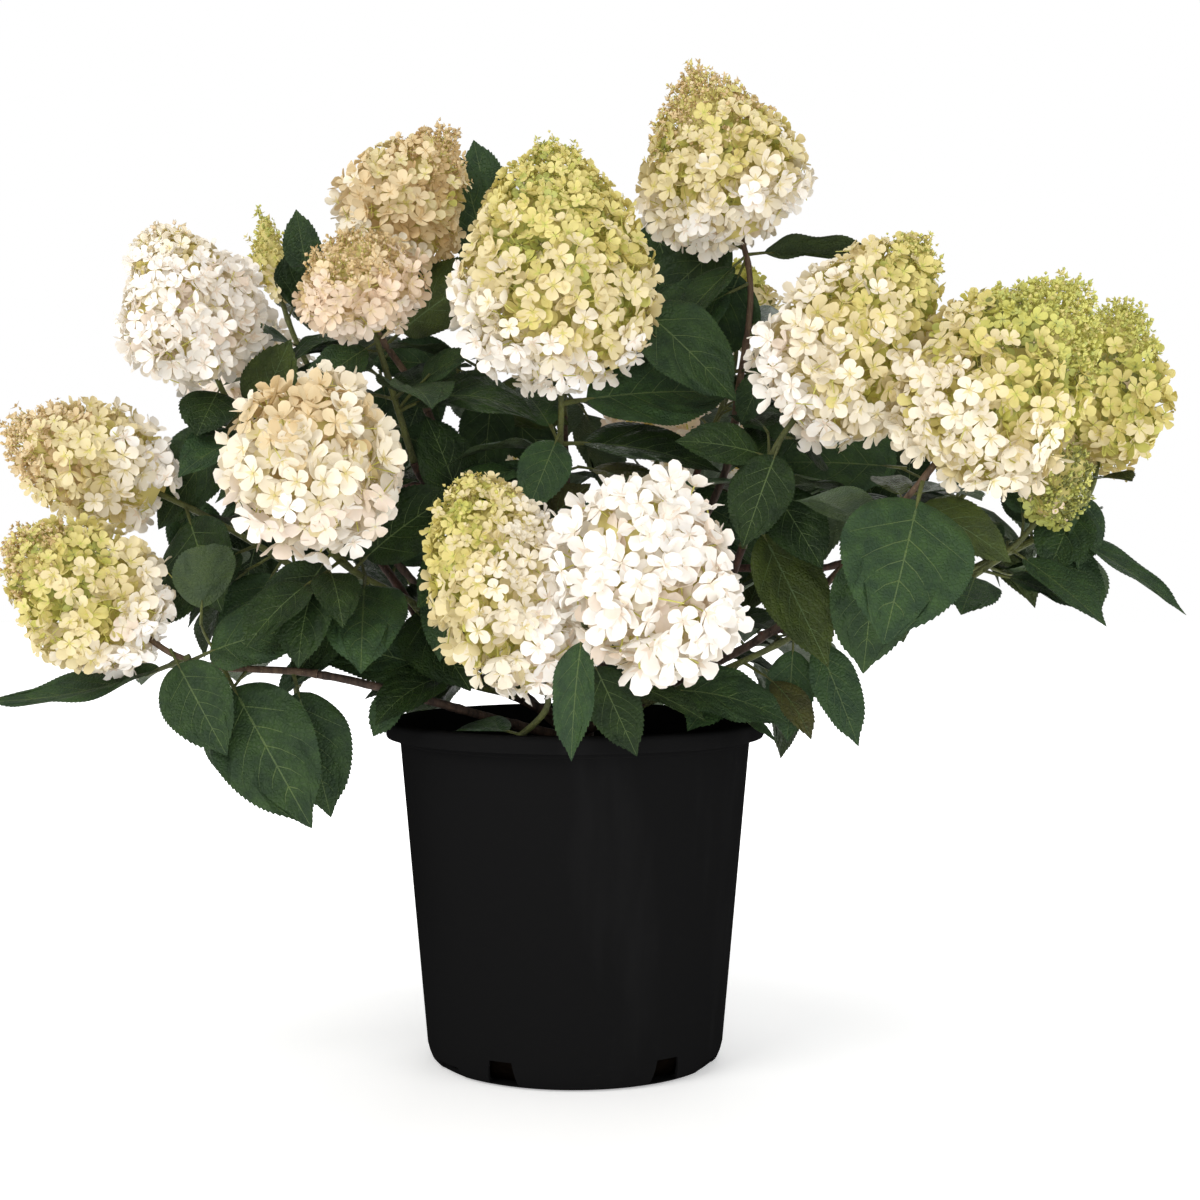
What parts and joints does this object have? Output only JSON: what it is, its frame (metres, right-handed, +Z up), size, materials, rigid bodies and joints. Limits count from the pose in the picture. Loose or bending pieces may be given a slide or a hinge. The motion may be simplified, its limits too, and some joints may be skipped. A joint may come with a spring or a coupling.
{
  "type": "potted hydrangea shrub",
  "caption": "Panicle hydrangea shrub in flower with cone-shaped cream blossom heads and dark green leaves on woody canes, standing in a round black nursery pot",
  "frame": {"origin": "centre of the pot's flat underside, on the ground", "axes": "+Z up, -Y towards the plant's front, +X to the right seen from the front"},
  "size_m": [0.854, 0.601, 0.731],
  "materials": {
    "pot_plastic": "smooth matte black",
    "potting_mix": "loose moist bark",
    "bark": "fine ridged bark",
    "foliage": "satin leaf",
    "blossom": "soft matte petal"
  },
  "bodies": {
    "root": {"bough_back_left": "bark", "bough_back_low": "bark", "bough_back_right": "bark", "bough_behind_centre": "bark", "bough_behind_right": "bark", "bough_dusty": "bark", "bough_left_bud": "bark", "bough_left_high": "bark", "bough_right_back": "bark", "bough_right_bud": "bark", "bough_right_far": "bark", "bough_right_high": "bark", "bough_round_left": "bark", "cane_back": "bark", "cane_back_left": "bark", "cane_back_right": "bark", "cane_centre": "bark", "cane_front_left": "bark", "cane_front_right": "bark", "cane_left": "bark", "cane_left_high": "bark", "cane_left_low": "bark", "cane_right": "bark", "cane_right_high": "bark", "pot": "pot_plastic", "potting_mix": "potting_mix", "shoot_back_centre": "blossom", "shoot_back_left": "blossom", "shoot_back_left_high": "blossom", "shoot_back_low": "blossom", "shoot_back_right": "blossom", "shoot_back_right_high": "blossom", "shoot_behind_centre": "blossom", "shoot_behind_right": "blossom", "shoot_dusty": "blossom", "shoot_front_left": "blossom", "shoot_front_right": "blossom", "shoot_left_bud": "blossom", "shoot_left_high": "blossom", "shoot_left_low": "blossom", "shoot_left_mid": "blossom", "shoot_right_back": "blossom", "shoot_right_bud": "blossom", "shoot_right_far": "blossom", "shoot_right_front": "blossom", "shoot_right_high": "blossom", "shoot_round_left": "blossom", "shoot_top_centre": "blossom", "shoot_top_left": "blossom", "shoot_top_right": "blossom", "sprout_back_left": "foliage", "sprout_back_right": "foliage", "sprout_front": "foliage", "sprout_inner": "foliage", "sprout_left": "foliage", "sprout_right": "foliage", "sprout_top": "foliage", "trunk": "bark"}
  },
  "joints": []
}
